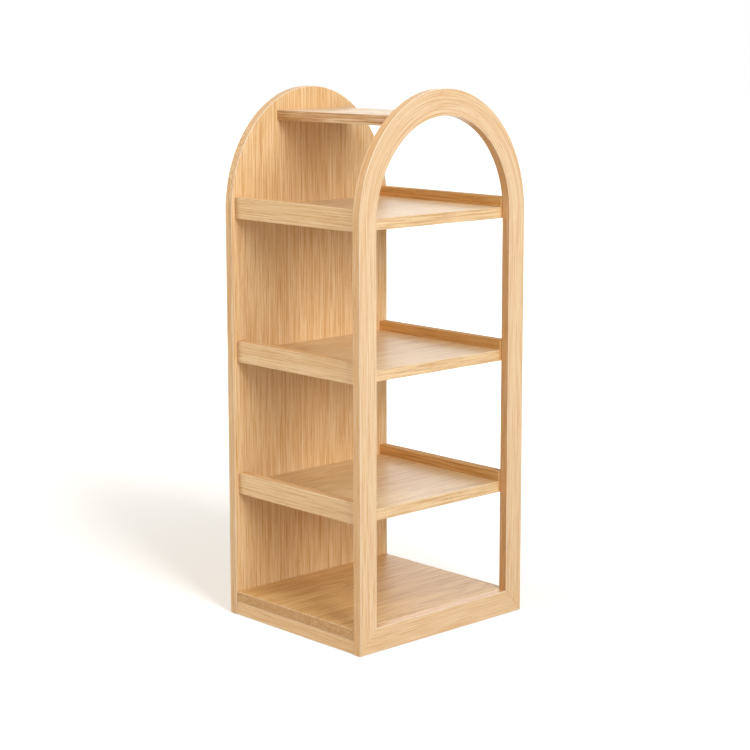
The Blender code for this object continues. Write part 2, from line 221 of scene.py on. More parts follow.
@dataclass(frozen=True)
class Grit:
    """A noise that is laid on the grain.

    Attributes:
        across: How fine it is across the grain and through the board, per metre.
        along: How fine it is along the grain, per metre.
        detail: How many finer noises lie on it.
        roughness: How strong the finer noises are.
        shift: What is added to a piece's seed, so that two noises of one board differ.
    """

    across: float
    along: float
    detail: float = 2.0
    roughness: float = 0.5
    shift: float = 0.0

    def lay(self, graph: Graph, grain: Socket, seed: object) -> bpy.types.Node:
        """Add the noise, whose fourth coordinate is the seed.

        Args:
            graph: Where it is added.
            grain: Coordinates across, through and along the grain.
            seed: The piece's seed.

        Returns:
            The noise's node.
        """
        fineness = (self.across, self.across, self.along)
        scaled = graph.node("ShaderNodeVectorMath", {0: grain, 1: fineness}, operation="MULTIPLY")
        values = {
            "Vector": scaled.outputs[0],
            "W": graph.calc("ADD", seed, self.shift) if self.shift else seed,
            "Scale": 1.0,
            "Detail": self.detail,
            "Roughness": self.roughness,
        }
        return graph.node("ShaderNodeTexNoise", values, noise_dimensions="4D")


@dataclass(frozen=True)
class SharedGroup:
    """A shader node group that the finishes share: built once, and placed with its own values.

    Attributes:
        name: The group's name.
        takes: Its inputs. The one called Grain is a vector and the others are numbers.
        gives: Its outputs, of the same kinds.
    """

    name: str
    takes: tuple[str, ...]
    gives: tuple[str, ...]

    def fill(self, graph: Graph, given: dict[str, Socket]) -> dict[str, Socket]:
        """Wire the inside of the group, from its inputs by name to its outputs by name."""
        raise NotImplementedError

    def tree(self) -> bpy.types.NodeTree:
        """Find the group, or build it the first time.

        Returns:
            The group's tree.
        """
        if self.name in bpy.data.node_groups:
            return bpy.data.node_groups[self.name]
        tree = bpy.data.node_groups.new(self.name, "ShaderNodeTree")
        for way, labels in (("INPUT", self.takes), ("OUTPUT", self.gives)):
            for label in labels:
                kind = "NodeSocketVector" if label == "Grain" else "NodeSocketFloat"
                tree.interface.new_socket(label, in_out=way, socket_type=kind)
        entry = tree.nodes.new("NodeGroupInput")
        leave = tree.nodes.new("NodeGroupOutput")
        graph = Graph(tree)
        for label, result in self.fill(graph, {label: entry.outputs[label] for label in self.takes}).items():
            graph.wire(leave.inputs[label], result)
        return tree

    def place(self, graph: Graph, values: dict[str, object]) -> bpy.types.Node:
        """Put the group into a material, with sockets or plain values for its inputs."""
        return graph.node("ShaderNodeGroup", values, node_tree=self.tree())


@dataclass(frozen=True)
class StaveGroup(SharedGroup):
    """Cuts a wide board into glued staves, each with its own piece of the log and its own tone.

    Attributes:
        across_shift: How much the staves' places across the log differ, in metres.
        through_shift: How much their places in the depth of the log differ.
        along_shift: How much their places along the log differ.
        joint_core: The half width of a joint's full line.
        joint_edge: Where the line has faded out.
    """

    name: str = "glued_staves"
    takes: tuple[str, ...] = ("Grain", "Stave Width", "Seed")
    gives: tuple[str, ...] = ("Grain", "Tone", "Joint")
    across_shift: float = 0.05
    through_shift: float = 0.03
    along_shift: float = 3.0
    joint_core: float = 0.0001
    joint_edge: float = 0.0005

    def fill(self, graph: Graph, given: dict[str, Socket]) -> dict[str, Socket]:
        """Number the staves across the board, and draw a place in the log for each number.

        Args:
            graph: The group's graph.
            given: Its inputs.

        Returns:
            Its outputs.
        """
        width = given["Stave Width"]
        parts = graph.node("ShaderNodeSeparateXYZ", {0: given["Grain"]})
        place = graph.calc("DIVIDE", parts.outputs[0], width)
        number = graph.calc("ADD", graph.calc("FLOOR", place), given["Seed"])
        picked = graph.node("ShaderNodeTexWhiteNoise", {"W": number}, noise_dimensions="1D")
        draw = graph.node("ShaderNodeSeparateColor", {0: picked.outputs["Color"]})
        within = graph.centred(graph.calc("FRACT", place))
        own = graph.calc("MULTIPLY", within, width)
        across = graph.add_share(own, graph.centred(draw.outputs[1]), self.across_shift)
        through = graph.add_share(parts.outputs[1], draw.outputs[2], self.through_shift)
        along = graph.add_share(parts.outputs[2], draw.outputs[0], self.along_shift)
        moved = graph.node("ShaderNodeCombineXYZ", {0: across, 1: through, 2: along})
        inset = graph.calc("SUBTRACT", MIDDLE, graph.calc("ABSOLUTE", within))
        near = graph.calc("MULTIPLY", inset, width)
        return {
            "Grain": moved.outputs[0],
            "Tone": picked.outputs["Value"],
            "Joint": graph.remap(near, self.joint_core, self.joint_edge, 1.0, 0.0),
        }


@dataclass(frozen=True)
class FigureGroup(SharedGroup):
    """Saws a board out of a log: growth rings round a leaning pith, pores, rays and fine fibre.

    Attributes:
        bend: The slow bends of the trunk.
        ripple: The small waves of each ring.
        ripple_height: How high those waves are, in metres.
        uneven_years: How far the width of the rings varies, in rings.
        uneven_pace: How fast it varies, per ring.
        early_start: Where in a year the porous wood of spring begin to fade.
        early_end: Where they have faded out.
        late_start: Where the next spring begins to show.
        weight_pace: How fast the strength of the rings varies, per ring.
        weakest: The strength of the faintest ring.
        band_pace: How fast bands of several rings change tone, per ring.
        band_share: The bands' part of the tone; the patches have the rest.
        patch: Pale and brown patches along the grain.
        pore: The open pores, seen as short dots.
        pore_limit: How high the pore noise has to be outside the spring rings.
        pore_ease: How much less is enough within them.
        pore_soft: How softly a pore's rim fades.
        fibre: Long fine streaks.
        dash: Short fine dashes.
        ray: Flecks where rays come to the surface.
        ray_low: Where a fleck begins.
        ray_high: Where a fleck is full.
    """

    name: str = "oak_figure"
    takes: tuple[str, ...] = (
        "Grain", "Pith Across", "Pith Depth", "Lean", "Ring Pitch", "Wander", "Fineness", "Seed",
    )
    gives: tuple[str, ...] = ("Early", "Tone", "Pores", "Fibre", "Rays", "Dashes")
    bend: Grit = Grit(across=9.0, along=3.4)
    ripple: Grit = Grit(across=70.0, along=9.0)
    ripple_height: float = 0.0018
    uneven_years: float = 1.6
    uneven_pace: float = 0.37
    early_start: float = 0.02
    early_end: float = 0.55
    late_start: float = 0.93
    weight_pace: float = 0.9
    weakest: float = 0.35
    band_pace: float = 0.16
    band_share: float = 0.55
    patch: Grit = Grit(across=14.0, along=1.6, detail=3.0)
    pore: Grit = Grit(across=1500.0, along=60.0, detail=1.0)
    pore_limit: float = 0.66
    pore_ease: float = 0.12
    pore_soft: float = 0.07
    fibre: Grit = Grit(across=380.0, along=2.8, detail=3.0, roughness=0.6)
    dash: Grit = Grit(across=560.0, along=11.0, detail=3.0, roughness=0.6, shift=9.0)
    ray: Grit = Grit(across=330.0, along=30.0, detail=1.0, shift=5.0)
    ray_low: float = 0.66
    ray_high: float = 0.74

    def fill(self, graph: Graph, given: dict[str, Socket]) -> dict[str, Socket]:
        """Lay rings, tone, pores and fibre over the grain.

        Args:
            graph: The group's graph.
            given: Its inputs.

        Returns:
            Its outputs.
        """
        grain, seed = given["Grain"], given["Seed"]
        years = self.years(graph, given)
        early = self.early(graph, years)
        bands = self.ring_noise(graph, years, self.band_pace, 2.0)
        patch = self.patch.lay(graph, grain, seed).outputs[0]
        tone = graph.calc("MULTIPLY", bands, self.band_share)
        tone = graph.add_share(tone, patch, 1.0 - self.band_share)
        dots = self.pore.lay(graph, grain, seed).outputs[0]
        limit = graph.calc("SUBTRACT", self.pore_limit, graph.calc("MULTIPLY", early, self.pore_ease))
        spread = graph.node("ShaderNodeCombineXYZ", {0: given["Fineness"], 1: given["Fineness"], 2: 1.0})
        close = graph.node("ShaderNodeVectorMath", {0: grain, 1: spread.outputs[0]}, operation="MULTIPLY")
        flecks = self.ray.lay(graph, grain, seed).outputs[0]
        return {
            "Early": early,
            "Tone": graph.remap(tone, *NOISE_SPAN),
            "Pores": graph.remap(dots, limit, graph.calc("ADD", limit, self.pore_soft)),
            "Fibre": self.fibre.lay(graph, close.outputs[0], seed).outputs[0],
            "Rays": graph.remap(flecks, self.ray_low, self.ray_high),
            "Dashes": self.dash.lay(graph, close.outputs[0], seed).outputs[0],
        }

    def ring_noise(self, graph: Graph, years: Socket, pace: float, detail: float) -> Socket:
        """Add a noise that changes from ring to ring."""
        values = {"W": years, "Scale": pace, "Detail": detail}
        return graph.node("ShaderNodeTexNoise", values, noise_dimensions="1D").outputs[0]

    def years(self, graph: Graph, given: dict[str, Socket]) -> Socket:
        """Count the rings from the pith, which leans and wanders, to each point.

        The count is the distance from the pith over the ring pitch, with small waves and an uneven
        width added.

        Args:
            graph: The group's graph.
            given: Its inputs.

        Returns:
            The number of rings.
        """
        grain, seed = given["Grain"], given["Seed"]
        parts = graph.node("ShaderNodeSeparateXYZ", {0: grain})
        slow = self.bend.lay(graph, grain, seed)
        drift = graph.node("ShaderNodeSeparateColor", {0: slow.outputs["Color"]})
        across = graph.calc("SUBTRACT", parts.outputs[0], given["Pith Across"])
        across = graph.add_share(across, graph.centred(drift.outputs[0]), given["Wander"])
        depth = graph.calc("SUBTRACT", parts.outputs[1], given["Pith Depth"])
        depth = graph.add_share(depth, graph.centred(drift.outputs[1]), given["Wander"])
        depth = graph.add_share(depth, parts.outputs[2], given["Lean"])
        squares = graph.add_share(graph.calc("MULTIPLY", across, across), depth, depth)
        ripple = self.ripple.lay(graph, grain, seed).outputs[0]
        radius = graph.add_share(graph.calc("SQRT", squares), graph.centred(ripple), self.ripple_height)
        years = graph.calc("DIVIDE", radius, given["Ring Pitch"])
        uneven = self.ring_noise(graph, years, self.uneven_pace, 1.0)
        return graph.add_share(years, uneven, self.uneven_years)

    def early(self, graph: Graph, years: Socket) -> Socket:
        """Mark the porous wood of each spring, stronger in some years than in others.

        Args:
            graph: The group's graph.
            years: The number of rings.

        Returns:
            The mark, from 0 to 1.
        """
        phase = graph.calc("FRACT", years)
        fading = graph.remap(phase, self.early_start, self.early_end, 1.0, 0.0)
        rising = graph.remap(phase, self.late_start, 1.0)
        weight = self.ring_noise(graph, years, self.weight_pace, 0.0)
        strength = graph.remap(weight, *NOISE_SPAN, self.weakest, 1.0)
        return graph.calc("MULTIPLY", graph.calc("MAXIMUM", fading, rising), strength)


@dataclass(frozen=True)
class FilmGroup(SharedGroup):
    """Lays a sprayed satin film over timber: it sinks into pores, pools unevenly, thins on arrises.

    Attributes:
        cloud: The uneven pooling.
        peel: The fine skin of a sprayed film.
        cloud_rough: How much the pooling changes the roughness.
        pore_rough: How much rougher a pore is.
        edge_rough: How much rougher an arris is.
        fibre_height: The fibre's part of the relief.
        pore_depth: The pores' part of it.
        early_depth: The spring wood's part of it.
        peel_height: The film's own part of it.
    """

    name: str = "satin_film"
    takes: tuple[str, ...] = ("Grain", "Pores", "Early", "Fibre", "Edge", "Sheen", "Seed")
    gives: tuple[str, ...] = ("Roughness", "Height")
    cloud: Grit = Grit(across=45.0, along=30.0, detail=3.0)
    peel: Grit = Grit(across=420.0, along=420.0, detail=1.0)
    cloud_rough: float = 0.12
    pore_rough: float = 0.12
    edge_rough: float = 0.05
    fibre_height: float = 0.35
    pore_depth: float = 0.7
    early_depth: float = 0.3
    peel_height: float = 0.25

    def fill(self, graph: Graph, given: dict[str, Socket]) -> dict[str, Socket]:
        """Work out the film's roughness and relief.

        Args:
            graph: The group's graph.
            given: Its inputs.

        Returns:
            Its outputs.
        """
        cloud = self.cloud.lay(graph, given["Grain"], given["Seed"]).outputs[0]
        peel = self.peel.lay(graph, given["Grain"], given["Seed"]).outputs[0]
        rough = graph.add_share(given["Sheen"], graph.centred(cloud), self.cloud_rough)
        rough = graph.add_share(rough, given["Pores"], self.pore_rough)
        rough = graph.add_share(rough, given["Edge"], self.edge_rough, clamp=True)
        height = graph.calc("MULTIPLY", given["Fibre"], self.fibre_height)
        height = graph.calc("SUBTRACT", height, graph.calc("MULTIPLY", given["Pores"], self.pore_depth))
        height = graph.calc("SUBTRACT", height, graph.calc("MULTIPLY", given["Early"], self.early_depth))
        return {"Roughness": rough, "Height": graph.add_share(height, peel, self.peel_height)}


@dataclass(frozen=True)
class Saw:
    """Where in the log a board was cut.

    Attributes:
        across: The pith's place across the board, in metres from its middle.
        depth: The pith's place through the board.
        lean: How fast the pith rises along the board.
        pitch: The width of a ring.
        wander: How far the trunk bends.
        stave: The width of a glued stave. The board's middle is a joint, so a board narrower than
            two staves is glued up from two.
    """

    across: float = 0.01
    depth: float = -0.055
    lean: float = 0.03
    pitch: float = 0.0042
    wander: float = 0.016
    stave: float = 5.0


@dataclass(frozen=True)
class OakFinish:
    """Oak under satin lacquer, in the tones of one kind of piece.

    Attributes:
        name: The finish's name.
        pale: The timber where it is palest.
        warm: The timber where it is warmest.
        dark: Spring rings, pores, dark streaks and end grain.
        cream: Pale streaks and ray flecks.
        contrast: How strongly the spring rings show.
        streaks: How strongly the long fibres show.
        dashes: How strongly the short dashes show.
        fineness: How much finer than usual fibres and dashes are across the grain.
        tone_spread: How much the staves differ from each other.
        side: The colour of the faces that are not the wide ones: partly the edge grain's own
        tone, partly painted shade, as the lamps light those faces less than the wide ones.
        side_shade: How far those faces take that colour.
        side_calm: How much weaker their rings are.
        face_axis: The object axis that the wide faces look along.
        end_shade: How much darker end grain is.
        sheen: The roughness of the timber under its film.
        ior: The refraction of the timber's surface.
        coat: The weight of the film's clear gloss.
        coat_sheen: The roughness of that gloss.
        bloom: The pale haze that the film shows at a glancing look.
        bump: The strength of the relief.
        glint: The pale line along an arris: partly a worn arris, partly a painted highlight.
        side_glint: The part of that painted highlight where the arris doesn't look up to the lamps.
    """

    name: str
    pale: Colour
    warm: Colour
    dark: Colour
    cream: Colour
    contrast: float
    streaks: float
    dashes: float
    fineness: float = 1.0
    tone_spread: float = 0.25
    side: Colour = (212, 164, 110)
    side_shade: float = 0.0
    side_calm: float = 0.0
    face_axis: int = 0
    end_shade: float = 0.35
    sheen: float = 0.36
    ior: float = 1.36
    coat: float = 0.15
    coat_sheen: float = 0.16
    bloom: float = 0.0
    bump: float = 0.22
    glint: float = 0.5
    side_glint: float = 1.0

    def material(
        self, piece: str, run: GrainRun | None, saw: Saw, centre: Vector, seed: float
    ) -> bpy.types.Material:
        """Make the finish for one piece, which marks its arrises with an attribute.

        Args:
            piece: The piece's name.
            run: The grain's direction, or None where the piece carries its own grain attribute.
            saw: Where in the log the board was cut.
            centre: The middle of the piece.
            seed: A number that makes this board unlike the others.

        Returns:
            The new material.
        """
        made, graph = open_material(f"{self.name}_{piece}")
        place = graph.node("ShaderNodeTexCoord")
        grain, ends = self.lay_grain(graph, place, run, centre)
        edge = graph.node("ShaderNodeAttribute", attribute_name="edge").outputs["Fac"]
        stave = StaveGroup().place(graph, {"Grain": grain, "Stave Width": saw.stave, "Seed": seed})
        sawn = {
            "Grain": stave.outputs["Grain"],
            "Pith Across": saw.across,
            "Pith Depth": saw.depth,
            "Lean": saw.lean,
            "Ring Pitch": saw.pitch,
            "Wander": saw.wander,
            "Fineness": self.fineness,
            "Seed": seed,
        }
        figure = FigureGroup().place(graph, sawn)
        values = {label: figure.outputs[label] for label in ("Pores", "Early", "Fibre")}
        values.update({"Grain": grain, "Edge": edge, "Sheen": self.sheen, "Seed": seed})
        film = FilmGroup().place(graph, values)
        relief = {"Height": film.outputs["Height"], "Strength": self.bump, "Distance": BUMP_DISTANCE}
        surface = {
            "Base Color": self.colour(graph, stave, figure, place, edge, ends),
            "Roughness": film.outputs["Roughness"],
            "Normal": graph.node("ShaderNodeBump", relief).outputs[0],
            "IOR": self.ior,
            "Coat Weight": self.coat,
            "Coat Roughness": self.coat_sheen,
            "Coat IOR": COAT_IOR,
            "Sheen Weight": self.bloom,
            "Sheen Roughness": BLOOM_ROUGHNESS,
            "Sheen Tint": linear(GLINT),
        }
        shader = graph.node("ShaderNodeBsdfPrincipled", surface)
        graph.node("ShaderNodeOutputMaterial", {"Surface": shader.outputs[0]})
        return made

    def lay_grain(
        self, graph: Graph, place: bpy.types.Node, run: GrainRun | None, centre: Vector
    ) -> tuple[Socket, object]:
        """Give the grain coordinates of a piece, and mark its end grain.

        Args:
            graph: The material's graph.
            place: The node that gives coordinates and the surface's direction.
            run: The grain's direction, or None where the piece carries its own grain attribute.
            centre: The middle of the piece.

        Returns:
            Coordinates across, through and along the grain, and the mark of the end grain.
        """
        if run is None:
            return graph.node("ShaderNodeAttribute", attribute_name="grain").outputs["Vector"], 0.0
        turned = centre.copy()
        turned.rotate(run.turn())
        mapping = graph.node("ShaderNodeMapping", {"Vector": place.outputs["Object"]})
        mapping.inputs["Location"].default_value = -turned
        mapping.inputs["Rotation"].default_value = run.turn()
        values = {0: place.outputs["Normal"], 1: run.axis()}
        facing = graph.node("ShaderNodeVectorMath", values, operation="DOT_PRODUCT")
        along = graph.calc("ABSOLUTE", facing.outputs["Value"])
        return mapping.outputs[0], graph.remap(along, *END_GRAIN_TILT)

    def colour(
        self,
        graph: Graph,
        stave: bpy.types.Node,
        figure: bpy.types.Node,
        place: bpy.types.Node,
        edge: object,
        ends: object,
    ) -> Socket:
        """Mix the colour of the timber, with painted shade in part on its narrow faces and a painted
        highlight along its arrises.

        Args:
            graph: The material's graph.
            stave: The node that cuts the board into staves.
            figure: The node that gives the rings, pores and fibre.
            place: The node that gives coordinates and the surface's direction.
            edge: The mark of the arrises.
            ends: The mark of the end grain.

        Returns:
            The colour.
        """
        dark, cream = linear(self.dark), linear(self.cream)
        facing = graph.node("ShaderNodeSeparateXYZ", {0: place.outputs["Normal"]})
        ahead = graph.calc("ABSOLUTE", facing.outputs[self.face_axis])
        side = graph.remap(ahead, *SIDE_TILT, 1.0, 0.0)
        body = self.rings(graph, stave, figure, side, ends)
        # Painted shade in part: the narrow faces, which the lamps light less, take the side colour.
        if self.side_shade:
            body = graph.blend(graph.calc("MULTIPLY", side, self.side_shade), body, linear(self.side))
        fibre = figure.outputs["Fibre"]
        body = graph.blend(graph.remap(fibre, MIDDLE, MIDDLE + FIBRE_BAND, 0.0, self.streaks), body, dark)
        body = graph.blend(graph.remap(fibre, MIDDLE, MIDDLE - FIBRE_BAND, 0.0, self.streaks), body, cream)
        calm = graph.calc("SUBTRACT", 1.0, graph.calc("MULTIPLY", ends, END_CALM))
        calm = graph.calc("MULTIPLY", calm, self.dashes)
        dashes = figure.outputs["Dashes"]
        brown = graph.calc("MULTIPLY", graph.remap(dashes, MIDDLE, MIDDLE + DASH_BAND), calm)
        light = graph.calc("MULTIPLY", graph.remap(dashes, MIDDLE, MIDDLE - DASH_BAND), calm)
        body = graph.blend(light, graph.blend(brown, body, dark), cream)
        pores = graph.calc("MULTIPLY", figure.outputs["Pores"], PORE_SHARE)
        body = graph.blend(pores, body, dark, "MULTIPLY")
        body = graph.blend(graph.calc("MULTIPLY", figure.outputs["Rays"], RAY_SHARE), body, cream)
        body = graph.blend(graph.calc("MULTIPLY", stave.outputs["Joint"], JOINT_SHARE), body, dark)
        # Painted highlight along the arrises, in part a worn arris's pale, full where the arris looks up.
        line = graph.calc("MULTIPLY", graph.calc("POWER", edge, GLINT_POWER), self.glint)
        upward = graph.remap(facing.outputs[2], *UPWARD_TILT, self.side_glint, 1.0)
        return graph.blend(graph.calc("MULTIPLY", line, upward), body, linear(GLINT))

    def rings(
        self, graph: Graph, stave: bpy.types.Node, figure: bpy.types.Node, side: Socket, ends: object
    ) -> Socket:
        """Mix the tone of the timber and its rings.

        Args:
            graph: The material's graph.
            stave: The node that cuts the board into staves.
            figure: The node that gives the rings, pores and fibre.
            side: The mark of the faces that are not the wide ones.
            ends: The mark of the end grain.

        Returns:
            The colour so far.
        """
        dark = linear(self.dark)
        lost = graph.calc("MULTIPLY", side, self.contrast * self.side_calm)
        strength = graph.calc("SUBTRACT", self.contrast, lost)
        strength = graph.add_share(strength, ends, self.end_shade * END_RINGS)
        own = graph.calc("MULTIPLY", stave.outputs["Tone"], self.tone_spread)
        lightness = graph.calc("MULTIPLY", figure.outputs["Tone"], 1.0 - self.tone_spread)
        lightness = graph.calc("ADD", lightness, own, clamp=True)
        body = graph.blend(lightness, linear(self.pale), linear(self.warm))
        body = graph.blend(graph.calc("MULTIPLY", figure.outputs["Early"], strength), body, dark)
        return graph.blend(graph.calc("MULTIPLY", ends, self.end_shade), body, dark)


@dataclass(frozen=True)
class PlainFinish:
    """A finish without ring figure: bare dowel, plywood or felt.

    Attributes:
        name: The finish's name.
        light: Its pale colour.
        dark: Its dark colour.
        roughness: Its mean roughness.
        across: How fine its fibres are across, per metre.
        along: How fine they are along.
        bump: The strength of the relief.
        fleck_share: How dark the small flecks are.
        uneven_rough: How much the fibres change the roughness.
        fleck_closer: How much finer than the fibres the flecks are, across and along.
        fleck_span: How high the fleck noise is where a fleck begins, and where it is full.
    """

    name: str
    light: Colour
    dark: Colour
    roughness: float
    across: float
    along: float
    bump: float
    fleck_share: float = 0.35
    uneven_rough: float = 0.12
    fleck_closer: tuple[float, float] = (3.0, 2.0)
    fleck_span: tuple[float, float] = (0.62, 0.7)

    def material(self, piece: str, run: GrainRun, seed: float) -> bpy.types.Material:
        """Make the finish for one piece.

        Args:
            piece: The piece's name.
            run: The direction in which the fibres or layers run.
            seed: A number that makes this piece unlike the others.

        Returns:
            The new material.
        """
        made, graph = open_material(f"{self.name}_{piece}")
        place = graph.node("ShaderNodeTexCoord")
        mapping = graph.node("ShaderNodeMapping", {"Vector": place.outputs["Object"]})
        mapping.inputs["Rotation"].default_value = run.turn()
        grain = mapping.outputs[0]
        closer = self.fleck_closer
        fibres = Grit(self.across, self.along, detail=3.0, roughness=0.6)
        flecks = Grit(self.across * closer[0], self.along * closer[1], detail=1.0)
        fibre = fibres.lay(graph, grain, seed).outputs[0]
        fleck = flecks.lay(graph, grain, seed).outputs[0]
        spots = graph.remap(fleck, *self.fleck_span, 0.0, self.fleck_share)
        mark = graph.calc("ADD", graph.remap(fibre, *NOISE_SPAN), spots, clamp=True)
        rough = graph.calc("MULTIPLY", fibre, self.uneven_rough)
        rough = graph.calc("ADD", rough, self.roughness - self.uneven_rough / 2, clamp=True)
        relief = {"Height": fibre, "Strength": self.bump, "Distance": BUMP_DISTANCE}
        surface = {
            "Base Color": graph.blend(mark, linear(self.light), linear(self.dark)),
            "Roughness": rough,
            "Normal": graph.node("ShaderNodeBump", relief).outputs[0],
        }
        shader = graph.node("ShaderNodeBsdfPrincipled", surface)
        graph.node("ShaderNodeOutputMaterial", {"Surface": shader.outputs[0]})
        return made


# In each finish the side colour is in part painted shade, and the glint a painted highlight.
ARCH_OAK = OakFinish(
    name="arch_oak",
    pale=(236, 206, 166), warm=(231, 197, 154), dark=(206, 146, 84), cream=(250, 230, 200),
    contrast=0.04, streaks=0.22, dashes=0.5, tone_spread=0.05,
    side=(236, 181, 116), side_shade=0.65, side_calm=0.5, side_glint=0.55,
    glint=1.0, coat=0.2,
)
PANEL_OAK = OakFinish(
    name="panel_oak",
    pale=(237, 203, 155), warm=(230, 191, 138), dark=(199, 139, 76), cream=(252, 231, 199),
    contrast=0.04, streaks=0.4, dashes=0.62, fineness=1.1, tone_spread=0.0,
    side=(228, 184, 138), side_shade=0.6, side_calm=0.8, side_glint=0.7,
    glint=0.7, end_shade=0.0, ior=1.3, coat=0.0,
)
BOARD_OAK = OakFinish(
    name="board_oak",
    pale=(236, 206, 155), warm=(223, 187, 131), dark=(190, 132, 68), cream=(250, 228, 188),
    contrast=0.12, streaks=0.32, dashes=0.6, fineness=0.55, face_axis=2,
    side=(233, 197, 156), side_shade=0.5, side_glint=0.1,
    end_shade=0.7, sheen=0.5, ior=1.4, coat=0.85, coat_sheen=0.42, bloom=0.22,
)
BASE_OAK = OakFinish(
    name="base_oak",
    pale=(239, 201, 142), warm=(222, 180, 115), dark=(178, 121, 56), cream=(246, 214, 166),
    contrast=0.22, streaks=0.34, dashes=0.6, fineness=0.6, face_axis=2, side_glint=0.1,
    end_shade=0.58, sheen=0.5, ior=1.45, coat=0.6, coat_sheen=0.48,
)
TOP_OAK = OakFinish(
    name="top_oak",
    pale=(241, 214, 174), warm=(222, 182, 130), dark=(156, 98, 44), cream=(250, 226, 188),
    contrast=0.55, streaks=0.6, dashes=0.6, face_axis=2,
    side=(200, 141, 74), side_shade=0.7, side_glint=0.3,
    sheen=0.5, ior=1.4, coat=0.6, coat_sheen=0.42, bloom=0.3,
)
RAIL_OAK = OakFinish(
    name="rail_oak",
    pale=(247, 211, 162), warm=(236, 194, 140), dark=(200, 138, 72), cream=(252, 228, 190),
    contrast=0.1, streaks=0.26, dashes=0.46, side_glint=0.2,
)
# Painted shade: a darker, duller copy of the rail oak for the back rails, which sit in shade.
SHADED_BACK_RAIL_OAK = OakFinish(
    name="shaded_back_rail_oak",
    pale=(240, 195, 134), warm=(226, 177, 110), dark=(176, 118, 58), cream=(242, 204, 150),
    contrast=0.24, streaks=0.35, dashes=0.6, side_glint=0.1,
    glint=0.06, sheen=0.6, ior=1.2, coat=0.0,
)
BEECH = PlainFinish(
    name="beech", light=(228, 196, 158), dark=(200, 160, 118),
    roughness=0.6, across=900.0, along=40.0, bump=0.2,
)
PLYWOOD = PlainFinish(
    name="plywood", light=(214, 180, 136), dark=(160, 118, 76),
    roughness=0.7, across=700.0, along=60.0, bump=0.25,
)
FELT = PlainFinish(
    name="felt", light=(132, 128, 122), dark=(92, 88, 84),
    roughness=0.95, across=1400.0, along=1400.0, bump=0.9,
)


@dataclass
class Ring:
    """Cross sections that follow each other, for a closed skin with two flat ends.

    Attributes:
        points: Section by section, the points round it.
        normals: The way the skin faces at each point.
        edges: How far each point is up on a rounded arris, from 0 to 1.
        grain: The grain coordinates of each point, where the piece carries its own.
        flat_ends: True where the ends meet the skin at a sharp edge.
    """

    points: np.ndarray
    normals: np.ndarray
    edges: np.ndarray
    grain: np.ndarray | None = None
    flat_ends: bool = False


def weave(rows: int, columns: int) -> tuple[np.ndarray, int]:
    """Number the corners of a closed skin's triangles.

    Neighbouring points of neighbouring sections make two triangles. The first and last sections
    are each closed by a fan of triangles from the section's first point, which has to be in sight
    of every other point of the section.

    Args:
        rows: How many sections there are.
        columns: How many points each has.

    Returns:
        Three point numbers for each triangle, with the two fans last, and the size of one fan.
    """
    index = np.arange(rows * columns).reshape(rows, columns)
    right = np.roll(index, -1, axis=1)
    quads = np.stack([index[:-1], right[:-1], right[1:], index[1:]], axis=-1).reshape(-1, 4)
    ends = [np.roll(index[0][::-1], 1), index[-1]]
    fans = [np.stack([end[:1].repeat(columns - 2), end[1:-1], end[2:]], axis=1) for end in ends]
    return np.concatenate([quads[:, [0, 1, 2]], quads[:, [0, 2, 3]], *fans]), columns - 2


def skin(name: str, ring: Ring) -> bpy.types.Object:
    """Close a row of sections into a solid skin whose faces point outwards.

    The skin faces outwards where the sum over its triangles of a corner times the cross product
    of two sides is more than nothing. Points at one place become one point, and the triangles
    that this leaves without area go.

    Args:
        name: The new object's name.
        ring: The sections.

    Returns:
        The object, at the origin, with the sections' own directions as its shading directions.
    """
    triangles, fan_size = weave(*ring.points.shape[:2])
    points = ring.points.reshape(-1, 3)
    corners = points[triangles]
    crosses = np.cross(corners[:, 1] - corners[:, 0], corners[:, 2] - corners[:, 0])
    if np.sum(corners[:, 0] * crosses) < 0:
        triangles = triangles[:, ::-1]
        crosses = -crosses
    ways = ring.normals.reshape(-1, 3)[triangles]
    if ring.flat_ends:
        for fan in (slice(-2 * fan_size, -fan_size), slice(-fan_size, None)):
            way = crosses[fan].sum(axis=0)
            ways[fan] = way / np.linalg.norm(way)
    rounded = points.round(WELD_DIGITS)
    _, kept, welded = np.unique(rounded, axis=0, return_index=True, return_inverse=True)
    faces = welded.reshape(-1)[triangles]
    sound = (faces != np.roll(faces, 1, axis=1)).all(axis=1)
    mesh = bpy.data.meshes.new(name)
    mesh.from_pydata(points[kept].tolist(), [], faces[sound].tolist())
    mesh.update()
    values = mesh.attributes.new("edge", "FLOAT", "POINT")
    values.data.foreach_set("value", ring.edges.astype(np.float32).ravel()[kept])
    if ring.grain is not None:
        values = mesh.attributes.new("grain", "FLOAT_VECTOR", "POINT")
        values.data.foreach_set("vector", ring.grain.astype(np.float32).reshape(-1, 3)[kept].ravel())
    mesh.polygons.foreach_set("use_smooth", np.ones(len(mesh.polygons), dtype=bool))
    mesh.normals_split_custom_set(ways[sound].reshape(-1, 3).tolist())
    made = bpy.data.objects.new(name, mesh)
    bpy.context.scene.collection.objects.link(made)
    return made


